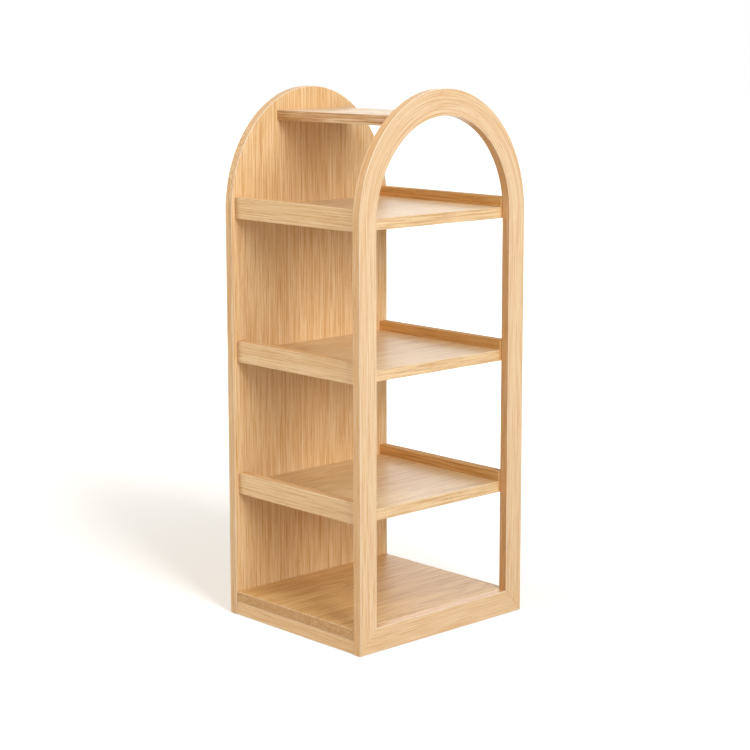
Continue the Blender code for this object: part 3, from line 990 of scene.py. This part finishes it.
@dataclass
class Outline:
    """A flat outline, drawn as a core line and the way outwards from it.

    The finished outline is the core line moved outwards by the arris radius, so that a corner is a
    small arc: the core stays at one point there while the way outwards swings round.

    Attributes:
        radius: The arris radius.
        cores: The core points, stretch by stretch.
        ways: The way outwards at each of them.
        marks: How far each of them is up on a rounded corner, from 0 to 1.
    """

    radius: float
    cores: list[np.ndarray] = field(default_factory=list)
    ways: list[np.ndarray] = field(default_factory=list)
    marks: list[np.ndarray] = field(default_factory=list)

    def corner(self, x: float, y: float, facing: float) -> None:
        """Add a right-angled corner.

        Args:
            x: The sharp corner's first coordinate.
            y: Its second coordinate.
            facing: Where the edge before it faces, in degrees; the next faces a quarter turn on.
        """
        turn = np.radians(np.linspace(facing, facing + 90, ARRIS_STEPS + 1))
        ways = np.stack([np.cos(turn), np.sin(turn)], axis=1)
        core = np.array([x, y]) - self.radius * (ways[0] + ways[-1])
        self.cores.append(np.repeat(core[None, :], len(turn), axis=0))
        self.ways.append(ways)
        self.marks.append(np.abs(np.sin(2 * (turn - turn[0]))))

    def curve(self, points: np.ndarray, ways: np.ndarray) -> None:
        """Add a smooth stretch.

        Args:
            points: Its finished points.
            ways: The way outwards at each.
        """
        self.cores.append(points - self.radius * ways)
        self.ways.append(ways)
        self.marks.append(np.zeros(len(points)))

    def plate(self, half: float, place: np.ndarray, axes: tuple[int, int, int]) -> Ring:
        """Thicken the outline into a board with rounded arrises.

        A point of the skin is the core point, lifted by the half thickness less the radius, plus
        the radius times a unit vector. The vector swings from straight down over the outline's own
        way outwards to straight up.

        Args:
            half: Half the thickness.
            place: The middle of the thickness, and where the outline's zero goes.
            axes: The object axes of the outline's two coordinates and of the thickness.

        Returns:
            The sections, from the lower flat face to the upper one.
        """
        core = np.concatenate(self.cores)
        ways = np.concatenate(self.ways)
        marks = np.concatenate(self.marks)
        down = np.radians(np.linspace(-90, 0, ARRIS_STEPS + 1))
        tilt = np.concatenate([down, -down[::-1]])[:, None]
        side = np.concatenate([-np.ones(len(down)), np.ones(len(down))])[:, None]
        flat = np.cos(tilt)[..., None] * ways[None]
        rise = np.sin(tilt) + np.zeros((1, len(core)))
        lift = side * (half - self.radius) + self.radius * rise
        local = np.dstack([core[None] + self.radius * flat, lift])
        normals = np.dstack([flat, rise])
        edges = np.maximum(np.abs(np.sin(2 * tilt)), marks[None] * np.cos(tilt))
        order = np.argsort(axes)
        return Ring(local[..., order] + place, normals[..., order], edges)


def rectangle(width: float, height: float, radius: float) -> Outline:
    """Draw a rectangle about the origin with its four corners eased.

    Args:
        width: Half its first side.
        height: Half its second side.
        radius: The arris radius.

    Returns:
        The outline, turning the positive way round.
    """
    made = Outline(radius)
    for right, up, facing in ((1, -1, -90), (1, 1, 0), (-1, 1, 90), (-1, -1, 180)):
        made.corner(right * width, up * height, facing)
    return made


def ellipse(
    half: float, rise: float, middle: float, spring: float, angles: np.ndarray
) -> tuple[np.ndarray, np.ndarray]:
    """Give points of an ellipse and the ways outwards from it.

    A point is the middle plus half width times cosine and rise times sine. The way outwards is
    cosine over half width and sine over rise, made one long.

    Args:
        half: Half the width.
        rise: The height above the springing line.
        middle: The middle of the width.
        spring: The height of the springing line.
        angles: Where on the ellipse, in radians.

    Returns:
        The points and the ways outwards.
    """
    cosine, sine = np.cos(angles), np.sin(angles)
    points = np.stack([middle + half * cosine, spring + rise * sine], axis=1)
    ways = np.stack([cosine / half, sine / rise], axis=1)
    return points, ways / np.linalg.norm(ways, axis=1, keepdims=True)


def settle(piece: bpy.types.Object, node: str, material: bpy.types.Material) -> None:
    """Dress a new piece, ride it on the body and let it stand for its solid.

    Args:
        piece: The new object.
        node: The solid that it stands for.
        material: The finish.
    """
    piece.data.materials.append(material)
    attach(piece, BODY)
    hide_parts(node)
    LOG.info("%s: %d faces", piece.name, len(piece.data.polygons))


@dataclass
class StraightBoard:
    """A straight board or rail, drawn flat in the plane of its wide faces.

    Attributes:
        node: The solid that it stands for.
        finish: Its finish.
        slot: The record's material slot; not used.
        run: The direction of its grain.
        saw: Where in the log it was cut.
        seed: A number that makes it unlike the others.
        arris: The arris radius.
        upright: True for a rail, whose wide faces look to the front and the back.
    """

    node: str
    finish: OakFinish
    slot: str
    run: GrainRun
    saw: Saw
    seed: float
    arris: float = 0.0012
    upright: bool = False

    def build(self) -> None:
        """Make the board inside its solid's box and dress it."""
        low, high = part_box(self.node)
        middle = (low + high) / 2
        half = (high - low) / 2
        if self.upright:
            ring = rectangle(half.x, half.z, self.arris).plate(half.y, np.array(middle), (0, 2, 1))
        else:
            ring = rectangle(half.x, half.y, self.arris).plate(half.z, np.array(middle), (0, 1, 2))
        piece = skin(f"{self.node}_timber", ring)
        material = self.finish.material(self.node, self.run, self.saw, middle, self.seed)
        settle(piece, self.node, material)


@dataclass
class EndPanel:
    """The solid end: an upright board of glued staves with an arched top.

    Attributes:
        rise: The height of its arch, half an ellipse.
        arris: The arris radius.
        arch_steps: How many steps the arch has.
        saw: Where in the log it was cut.
        seed: A number that makes it unlike the others.
    """

    rise: float = 0.219
    arris: float = 0.002
    arch_steps: int = 96
    saw: Saw = Saw(across=0.089, depth=-0.03, lean=0.05, pitch=0.0042, wander=0.012)
    seed: float = 3.0

    def build(self) -> None:
        """Make the panel and dress it."""
        low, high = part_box("end_panel")
        middle = (low + high) / 2
        half = (high.y - low.y) / 2
        spring = high.z - self.rise
        outline = Outline(self.arris)
        outline.corner(low.y, low.z, 180)
        outline.corner(high.y, low.z, 270)
        angles = np.linspace(0, np.pi, self.arch_steps + 1)
        outline.curve(*ellipse(half, self.rise, middle.y, spring, angles))
        ring = outline.plate((high.x - low.x) / 2, np.array([middle.x, 0.0, 0.0]), (1, 2, 0))
        piece = skin("end_panel_timber", ring)
        material = PANEL_OAK.material("end_panel", GrainRun.ALONG_Z, self.saw, middle, self.seed)
        settle(piece, "end_panel", material)


@dataclass
class OpenArch:
    """The open end: a bent hoop on a sill, mitred together at the two lower corners.

    Attributes:
        rise: The height of the outside arch, half an ellipse.
        stile: The width of a stile.
        crown: The width of the hoop at its crown.
        arris: The arris radius.
        glue_gap: How much higher than the sill's mitre the hoop's is.
        arch_steps: How many steps the arch has.
        stile_steps: How many steps each stile has.
        hoop_saw: Where in the log the hoop was cut.
        sill_saw: Where in the log the sill was cut.
        hoop_seed: A number that makes the hoop unlike the others.
        sill_seed: The same for the sill.
    """

    rise: float = 0.222
    stile: float = 0.039
    crown: float = 0.046
    arris: float = 0.0015
    glue_gap: float = 0.00045
    arch_steps: int = 120
    stile_steps: int = 6
    hoop_saw: Saw = Saw(across=-0.11, depth=-0.06, lean=0.05, pitch=0.0042, wander=0.04)
    sill_saw: Saw = Saw(across=-0.11, depth=-0.05, lean=0.02, pitch=0.0038, wander=0.01)
    hoop_seed: float = 11.0
    sill_seed: float = 17.0

    def build(self) -> None:
        """Make the hoop and the sill."""
        self.build_hoop()
        self.build_sill()

    def mitre(self, across: np.ndarray) -> np.ndarray:
        """Give the height of the hoop's foot.

        It falls in a straight line from the sill's top at the opening to the sill's foot at the
        outside of the stile, and lies the glue gap above that line.

        Args:
            across: Distance from the middle of the arch.

        Returns:
            The height at each distance.
        """
        low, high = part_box("arch_sill")
        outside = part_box("arch_hoop")[1].y
        share = (np.abs(across) - (outside - self.stile)) / self.stile
        return high.z - share * (high.z - low.z) + self.glue_gap

    def long_edge(self, half: float, rise: float) -> tuple[np.ndarray, np.ndarray]:
        """Draw one edge of the hoop: up a stile, round half an ellipse and down the other stile.

        Args:
            half: Half the distance between the edge's two straight stretches.
            rise: The height of the half ellipse.

        Returns:
            The points and the ways outwards.
        """
        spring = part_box("arch_hoop")[1].z - self.rise
        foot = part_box("arch_sill")[0].z
        arch, ways = ellipse(half, rise, 0.0, spring, np.linspace(0, np.pi, self.arch_steps + 1))
        share = np.linspace(0.0, 1.0, self.stile_steps + 1)[:-1, None]
        stiles = []
        for top in (arch[0], arch[-1]):
            bottom = np.array([top[0], foot])
            stiles.append(bottom + share * (top - bottom))
        right = np.repeat([[1.0, 0.0]], self.stile_steps, axis=0)
        points = np.concatenate([stiles[0], arch, stiles[1][::-1]])
        return points, np.concatenate([right, ways, -right])

    def arris_band(
        self, edge: np.ndarray, ways: np.ndarray, turn: np.ndarray, side: float
    ) -> tuple[np.ndarray, ...]:
        """Round one of the hoop's four long arrises.

        A point lies the radius inside the edge and the radius below the face, plus the radius
        times the cosine of the turn along the edge's way and its sine along the face's.

        Args:
            edge: The edge's points.
            ways: Which way the edge faces at each.
            turn: The angles over the arris, in radians.
            side: 1 for the face that looks to +X, -1 for the other.

        Returns:
            The place along X from the middle of the thickness, the place in the arch's own plane,
            the direction along X, the direction in that plane, and the mark of the arris.
        """
        low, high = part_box("arch_hoop")
        flat = np.cos(turn)[None, :, None] * ways[:, None, :]
        lift = side * np.sin(turn)[None, :] + np.zeros((len(edge), 1))
        core = (edge - self.arris * ways)[:, None, :] + self.arris * flat
        thick = side * ((high.x - low.x) / 2 - self.arris) + self.arris * lift
        mark = np.abs(np.sin(2 * turn))[None, :] + np.zeros((len(edge), 1))
        return thick, core, lift, flat, mark

    def build_hoop(self) -> None:
        """Carry a rounded section up one stile, round the arch and down the other stile."""
        low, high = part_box("arch_hoop")
        outer, outward = self.long_edge(high.y, self.rise)
        inner, inward = self.long_edge(high.y - self.stile, self.rise - self.crown)
        swing = np.radians(np.linspace(0, 90, ARRIS_STEPS + 1))
        bands = (
            self.arris_band(outer, outward, swing, 1.0),
            self.arris_band(inner, -inward, swing[::-1], 1.0),
            self.arris_band(inner, -inward, swing, -1.0),
            self.arris_band(outer, outward, swing[::-1], -1.0),
        )
        thick, core, lift, flat, mark = (np.concatenate(parts, axis=1) for parts in zip(*bands))
        for end in (0, -1):
            core[end, :, 1] = self.mitre(core[end, :, 0])
        middle_x = (low.x + high.x) / 2
        points = np.dstack([thick + middle_x, core])
        grain = self.hoop_grain(points, outer, inner, middle_x)
        piece = skin("arch_hoop_timber", Ring(points, np.dstack([lift, flat]), mark, grain, True))
        material = ARCH_OAK.material("arch_hoop", None, self.hoop_saw, Vector(), self.hoop_seed)
        settle(piece, "arch_hoop", material)

    def hoop_grain(
        self, points: np.ndarray, outer: np.ndarray, inner: np.ndarray, middle_x: float
    ) -> np.ndarray:
        """Lay the grain along the bend.

        Across is the distance from the middle of the timber's width, through is the distance from
        the middle of its thickness, and along is the length of the middle line up to the section.

        Args:
            points: The skin's points, section by section.
            outer: The outside edge.
            inner: The inside edge.
            middle_x: The middle of the thickness.

        Returns:
            The grain coordinates of each point.
        """
        centre = (outer + inner) / 2
        steps = np.linalg.norm(np.diff(centre, axis=0), axis=1)
        along = np.concatenate([[0.0], np.cumsum(steps)])
        way = outer - inner
        way = way / np.linalg.norm(way, axis=1, keepdims=True)
        across = ((points[..., 1:] - centre[:, None, :]) * way[:, None, :]).sum(-1)
        slip = points[..., 1:] - centre[:, None, :] - across[..., None] * way[:, None, :]
        tangent = np.stack([-way[:, 1], way[:, 0]], axis=1)
        extra = (slip * tangent[:, None, :]).sum(-1)
        return np.dstack([across, points[..., 0] - middle_x, along[:, None] + extra])

    def build_sill(self) -> None:
        """Carry a rounded section from one mitre of the sill to the other.

        The section's points end where the mitre is at their height: the stile's width further in
        at the sill's top than at its foot.
        """
        low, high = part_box("arch_sill")
        middle = (low + high) / 2
        half = (high - low) / 2
        outline = rectangle(half.x, half.z, self.arris)
        ways = np.concatenate(outline.ways)
        section = np.concatenate(outline.cores) + self.arris * ways
        marks = np.concatenate(outline.marks)
        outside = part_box("arch_hoop")[1].y
        share = (section[:, 1] + half.z) / (2 * half.z)
        reach = outside - share * self.stile
        length = np.array([[-1.0], [1.0]]) * reach[None]
        wide, way, edges = (np.repeat(values[None], 2, axis=0) for values in (section, ways, marks))
        points = np.dstack([wide[..., 0] + middle.x, length, wide[..., 1] + middle.z])
        normals = np.dstack([way[..., 0], np.zeros_like(length), way[..., 1]])
        piece = skin("arch_sill_timber", Ring(points, normals, edges, None, True))
        material = ARCH_OAK.material("arch_sill", GrainRun.ALONG_Y, self.sill_saw, middle, self.sill_seed)
        settle(piece, "arch_sill", material)


@dataclass
class RailedShelf:
    """One shelf board with a raised rail along its front and its back.

    Attributes:
        level: The first word of its nodes' names.
        seed: A number that makes its timber unlike the others.
        board_saw: Where in the log the board was cut.
        rail_saw: Where in the log the rails were cut.
        seed_step: How much the seeds of its pieces differ.
    """

    level: str
    seed: float
    board_saw: Saw
    rail_saw: Saw
    seed_step: float = 1.7

    def build(self) -> None:
        """Make the board and both rails."""
        node = f"{self.level}_shelf"
        StraightBoard(node, BOARD_OAK, "oak_board", GrainRun.ALONG_Y, self.board_saw, self.seed).build()
        # The back rails take the darker copy of the rail oak, which is painted shade.
        for step, place, finish in ((1, "front", RAIL_OAK), (2, "back", SHADED_BACK_RAIL_OAK)):
            node = f"{self.level}_{place}_rail"
            seed = self.seed + step * self.seed_step
            run = GrainRun.ALONG_X
            StraightBoard(node, finish, "oak_rail", run, self.rail_saw, seed, upright=True).build()


@dataclass
class Base:
    """The base board and the two plinth rails under its edges.

    Attributes:
        board_saw: Where in the log the board was cut.
        rail_saw: Where in the log the rails were cut.
        board_seed: A number that makes the board unlike the others.
        rail_seeds: The same for each rail, by its place.
    """

    board_saw: Saw = Saw(across=0.02, depth=-0.06, lean=0.05, pitch=0.0048, wander=0.022, stave=0.15)
    rail_saw: Saw = Saw(across=0.0, depth=-0.05, lean=0.04, pitch=0.0038)
    board_seed: float = 23.0
    rail_seeds: tuple[tuple[str, float], ...] = (("front", 29.0), ("back", 31.0))

    def build(self) -> None:
        """Make the board and the plinth rails."""
        run = GrainRun.ALONG_Y
        StraightBoard("base_board", BASE_OAK, "oak_board", run, self.board_saw, self.board_seed).build()
        run = GrainRun.ALONG_X
        for place, seed in self.rail_seeds:
            node = f"plinth_{place}"
            StraightBoard(node, RAIL_OAK, "oak_rail", run, self.rail_saw, seed, upright=True).build()


@dataclass
class TopBoard:
    """The narrow top board, scooped away at its back corner beside the crown of the arch.

    Attributes:
        landing: How wide the board still is where it meets the hoop.
        arris: The arris radius.
        scoop_steps: How many steps the scoop's quarter circle has.
        saw: Where in the log it was cut.
        seed: A number that makes it unlike the others.
    """

    landing: float = 0.0445
    arris: float = 0.0012
    scoop_steps: int = 32
    saw: Saw = Saw(across=0.03, depth=-0.03, lean=0.09, pitch=0.0036, wander=0.034)
    seed: float = 37.0

    def build(self) -> None:
        """Make the board and dress it."""
        low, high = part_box("top_board")
        middle = (low + high) / 2
        radius = high.y - low.y - self.landing
        outline = Outline(self.arris)
        outline.corner(low.x, low.y, 180)
        outline.corner(high.x, low.y, -90)
        outline.corner(high.x, high.y - radius, 0)
        turn = np.linspace(np.pi / 2, 0, self.scoop_steps + 1)[1:-1]
        ways = np.stack([np.cos(turn), np.sin(turn)], axis=1)
        outline.curve(np.array([high.x, high.y]) - radius * ways, ways)
        outline.corner(high.x - radius, high.y, 0)
        outline.corner(low.x, high.y, 90)
        ring = outline.plate((high.z - low.z) / 2, np.array([0.0, 0.0, middle.z]), (0, 1, 2))
        piece = skin("top_board_timber", ring)
        material = TOP_OAK.material("top_board", GrainRun.ALONG_X, self.saw, middle, self.seed)
        settle(piece, "top_board", material)


@dataclass
class HiddenHardware:
    """The dowels, mitre tongues and felt glides, which keep their solids and get their own finishes.

    Attributes:
        kinds: How a node's name starts, with its finish and the run of its fibres. The first that
            fits holds: of the dowels, only those of the plinth stand upright.
    """

    kinds: tuple[tuple[str, PlainFinish, GrainRun], ...] = (
        ("dowel_plinth", BEECH, GrainRun.ALONG_Z),
        ("dowel_", BEECH, GrainRun.ALONG_X),
        ("mitre_spline_", PLYWOOD, GrainRun.ALONG_Y),
        ("glide_", FELT, GrainRun.ALONG_Z),
    )

    def build(self) -> None:
        """Dress every carried-over solid."""
        for number, node in enumerate(sorted(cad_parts)):
            fitting = [kind for kind in self.kinds if node.startswith(kind[0])]
            if fitting:
                _, finish, run = fitting[0]
                self.dress(node, finish.material(node, run, float(number)))

    def dress(self, node: str, material: bpy.types.Material) -> None:
        """Put a finish on one solid.

        Args:
            node: The solid's name.
            material: The finish.
        """
        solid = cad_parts[node]
        solid.data.materials.clear()
        solid.data.materials.append(material)
        LOG.info("%s dressed", node)


@dataclass(frozen=True)
class Lamp:
    """A soft lamp that hangs in the studio and looks at the shelf.

    Attributes:
        name: Its name.
        place: Where it hangs.
        size: Its width and height.
        watts: Its power.
        mirrored: True where its reflection shows.
        aim: The point it looks at.
        tint: Its colour.
    """

    name: str
    place: Place
    size: tuple[float, float]
    watts: float
    mirrored: bool = False
    aim: Place = (0.0, 0.0, 0.5)
    tint: Place = (1.0, 0.995, 0.98)

    def hang(self) -> None:
        """Make the lamp, unseen by the camera."""
        light = bpy.data.lights.new(self.name, "AREA")
        light.shape = "RECTANGLE"
        light.size, light.size_y = self.size
        light.energy = self.watts
        light.color = self.tint
        made = bpy.data.objects.new(self.name, light)
        made.location = self.place
        way = Vector(self.aim) - Vector(self.place)
        made.rotation_euler = way.to_track_quat("-Z", "Y").to_euler()
        made.visible_glossy = self.mirrored
        made.visible_camera = False
        bpy.context.scene.collection.objects.link(made)


@dataclass
class Studio:
    """A pale floor, a white surround, soft lamps and the camera.

    Attributes:
        floor_size: The side of the square floor.
        floor_paint: The floor's grey under the lamps.
        floor_roughness: Its least roughness, and how much a mottle adds.
        shadow_reach: Where the floor begins to grow whiter, and where it is white, from the origin.
        shadow_glow: The part of the white that shows under the shelf.
        ambient: The strength of the surround as a light.
        fill: The colour of that light.
        camera_place: Where the camera stands.
        camera_bearing: Where it looks from, round the upright axis, in degrees.
        camera_dip: How far it looks down, in degrees.
        lens: Its focal length, in millimetres.
        shift: How far the picture is shifted.
        lamps: The lamps.
    """

    floor_size: float = 40.0
    floor_paint: Place = (0.7, 0.7, 0.7)
    floor_roughness: tuple[float, float] = (0.8, 0.1)
    shadow_reach: tuple[float, float] = (0.5, 2.6)
    shadow_glow: float = 0.45
    ambient: float = 0.24
    fill: Colour = (255, 235, 200)
    camera_place: Place = (2.5275, -2.3461, 1.0711)
    camera_bearing: float = 46.609
    camera_dip: float = 9.435
    lens: float = 93.07
    shift: tuple[float, float] = (-0.0238, -0.04)
    lamps: tuple[Lamp, ...] = (
        Lamp("right_lamp", place=(6.1, -1.2, 2.95), size=(2.6, 3.4), watts=308.0),
        Lamp("high_lamp", place=(4.6, -1.0, 4.6), size=(3.0, 3.0), watts=24.0),
        Lamp("left_lamp", place=(-3.2, -2.4, 1.7), size=(2.0, 2.0), watts=88.0),
        Lamp("overhead_lamp", place=(0.2, -0.4, 3.4), size=(1.8, 1.8), watts=16.0),
        Lamp("backdrop_lamp", place=(-5.0, 4.7, 1.3), size=(5.0, 2.6), watts=64.0, mirrored=True),
    )

    def build(self) -> None:
        """Make the floor, world, lamps and camera."""
        self.build_floor()
        self.build_world()
        for lamp in self.lamps:
            lamp.hang()
        self.build_camera()
        LOG.info("studio ready")

    def build_floor(self) -> None:
        """Lay the floor: a matt plane whose own white shows only as background.

        Under the shelf it shows less of that white, which keeps the shadow.
        """
        edge = self.floor_size / 2
        mesh = bpy.data.meshes.new("floor")
        corners = [(-edge, -edge, 0.0), (edge, -edge, 0.0), (edge, edge, 0.0), (-edge, edge, 0.0)]
        mesh.from_pydata(corners, [], [(0, 1, 2, 3)])
        floor = bpy.data.objects.new("floor", mesh)
        bpy.context.scene.collection.objects.link(floor)
        material, graph = open_material("floor_paint")
        place = graph.node("ShaderNodeTexCoord").outputs["Object"]
        mottle = graph.node("ShaderNodeTexNoise", {"Vector": place, "Scale": 3.0}).outputs[0]
        least, added = self.floor_roughness
        rough = graph.add_share(least, mottle, added)
        paint = graph.node("ShaderNodeBsdfDiffuse", {"Color": (*self.floor_paint, 1.0), "Roughness": rough})
        distance = graph.node("ShaderNodeVectorMath", {0: place}, operation="LENGTH").outputs["Value"]
        level = graph.remap(distance, *self.shadow_reach, self.shadow_glow, 1.0)
        shown = graph.calc("MULTIPLY", self.background_rays(graph), level)
        glow = graph.node("ShaderNodeEmission", {"Color": linear(WHITE), "Strength": shown})
        both = graph.node("ShaderNodeAddShader", {0: paint.outputs[0], 1: glow.outputs[0]})
        graph.node("ShaderNodeOutputMaterial", {"Surface": both.outputs[0]})
        mesh.materials.append(material)

    def background_rays(self, graph: Graph) -> Socket:
        """Mark the rays that see the background: from the camera, mirrored or through glass.

        Args:
            graph: The graph of the floor or the world.

        Returns:
            The mark, 0 or 1.
        """
        path = graph.node("ShaderNodeLightPath")
        seen = graph.calc("MAXIMUM", path.outputs["Is Camera Ray"], path.outputs["Is Glossy Ray"])
        return graph.calc("MAXIMUM", seen, path.outputs["Is Transmission Ray"])

    def build_world(self) -> None:
        """Surround the shelf with a white background, which as a light is weaker and warmer."""
        world = bpy.data.worlds.new("white_room")
        bpy.context.scene.world = world
        world.use_nodes = True
        world.node_tree.nodes.clear()
        graph = Graph(world.node_tree)
        shown = self.background_rays(graph)
        strength = graph.remap(shown, 0.0, 1.0, self.ambient, 1.0)
        colour = graph.blend(shown, linear(self.fill), linear(WHITE))
        back = graph.node("ShaderNodeBackground", {"Color": colour, "Strength": strength})
        graph.node("ShaderNodeOutputWorld", {"Surface": back.outputs[0]})

    def build_camera(self) -> None:
        """Set the camera where the photograph was taken from."""
        camera = bpy.data.cameras.new("camera")
        camera.lens = self.lens
        camera.shift_x, camera.shift_y = self.shift
        made = bpy.data.objects.new("camera", camera)
        made.location = self.camera_place
        made.rotation_euler = (math.radians(90.0 - self.camera_dip), 0.0, math.radians(self.camera_bearing))
        bpy.context.scene.collection.objects.link(made)
        bpy.context.scene.camera = made


def main() -> None:
    """Build and dress the whole shelf, sub-assembly by sub-assembly."""
    logging.basicConfig(level=logging.INFO, format="%(name)s: %(message)s")
    view = bpy.context.scene.view_settings
    view.view_transform = "Standard"
    shelves = (
        RailedShelf(
            level="lower",
            seed=41.0,
            board_saw=Saw(across=0.02, depth=-0.05, lean=0.06, pitch=0.0044, wander=0.024, stave=0.16),
            rail_saw=Saw(across=0.003, depth=-0.04, lean=0.06, pitch=0.0038),
        ),
        RailedShelf(
            level="middle",
            seed=47.0,
            board_saw=Saw(across=-0.03, depth=-0.06, lean=0.05, pitch=0.005, wander=0.02, stave=0.14),
            rail_saw=Saw(across=0.006, depth=-0.03, lean=-0.08, pitch=0.004),
        ),
        RailedShelf(
            level="upper",
            seed=53.0,
            board_saw=Saw(across=0.01, depth=-0.07, lean=0.05, pitch=0.0046, wander=0.02, stave=0.15),
            rail_saw=Saw(across=-0.004, depth=-0.05, lean=0.05, pitch=0.0036),
        ),
    )
    for part in (EndPanel(), OpenArch(), *shelves, Base(), TopBoard(), HiddenHardware(), Studio()):
        part.build()
        LOG.info("%s built", type(part).__name__)
    bpy.context.view_layer.update()


if __name__ == "__main__":
    main()
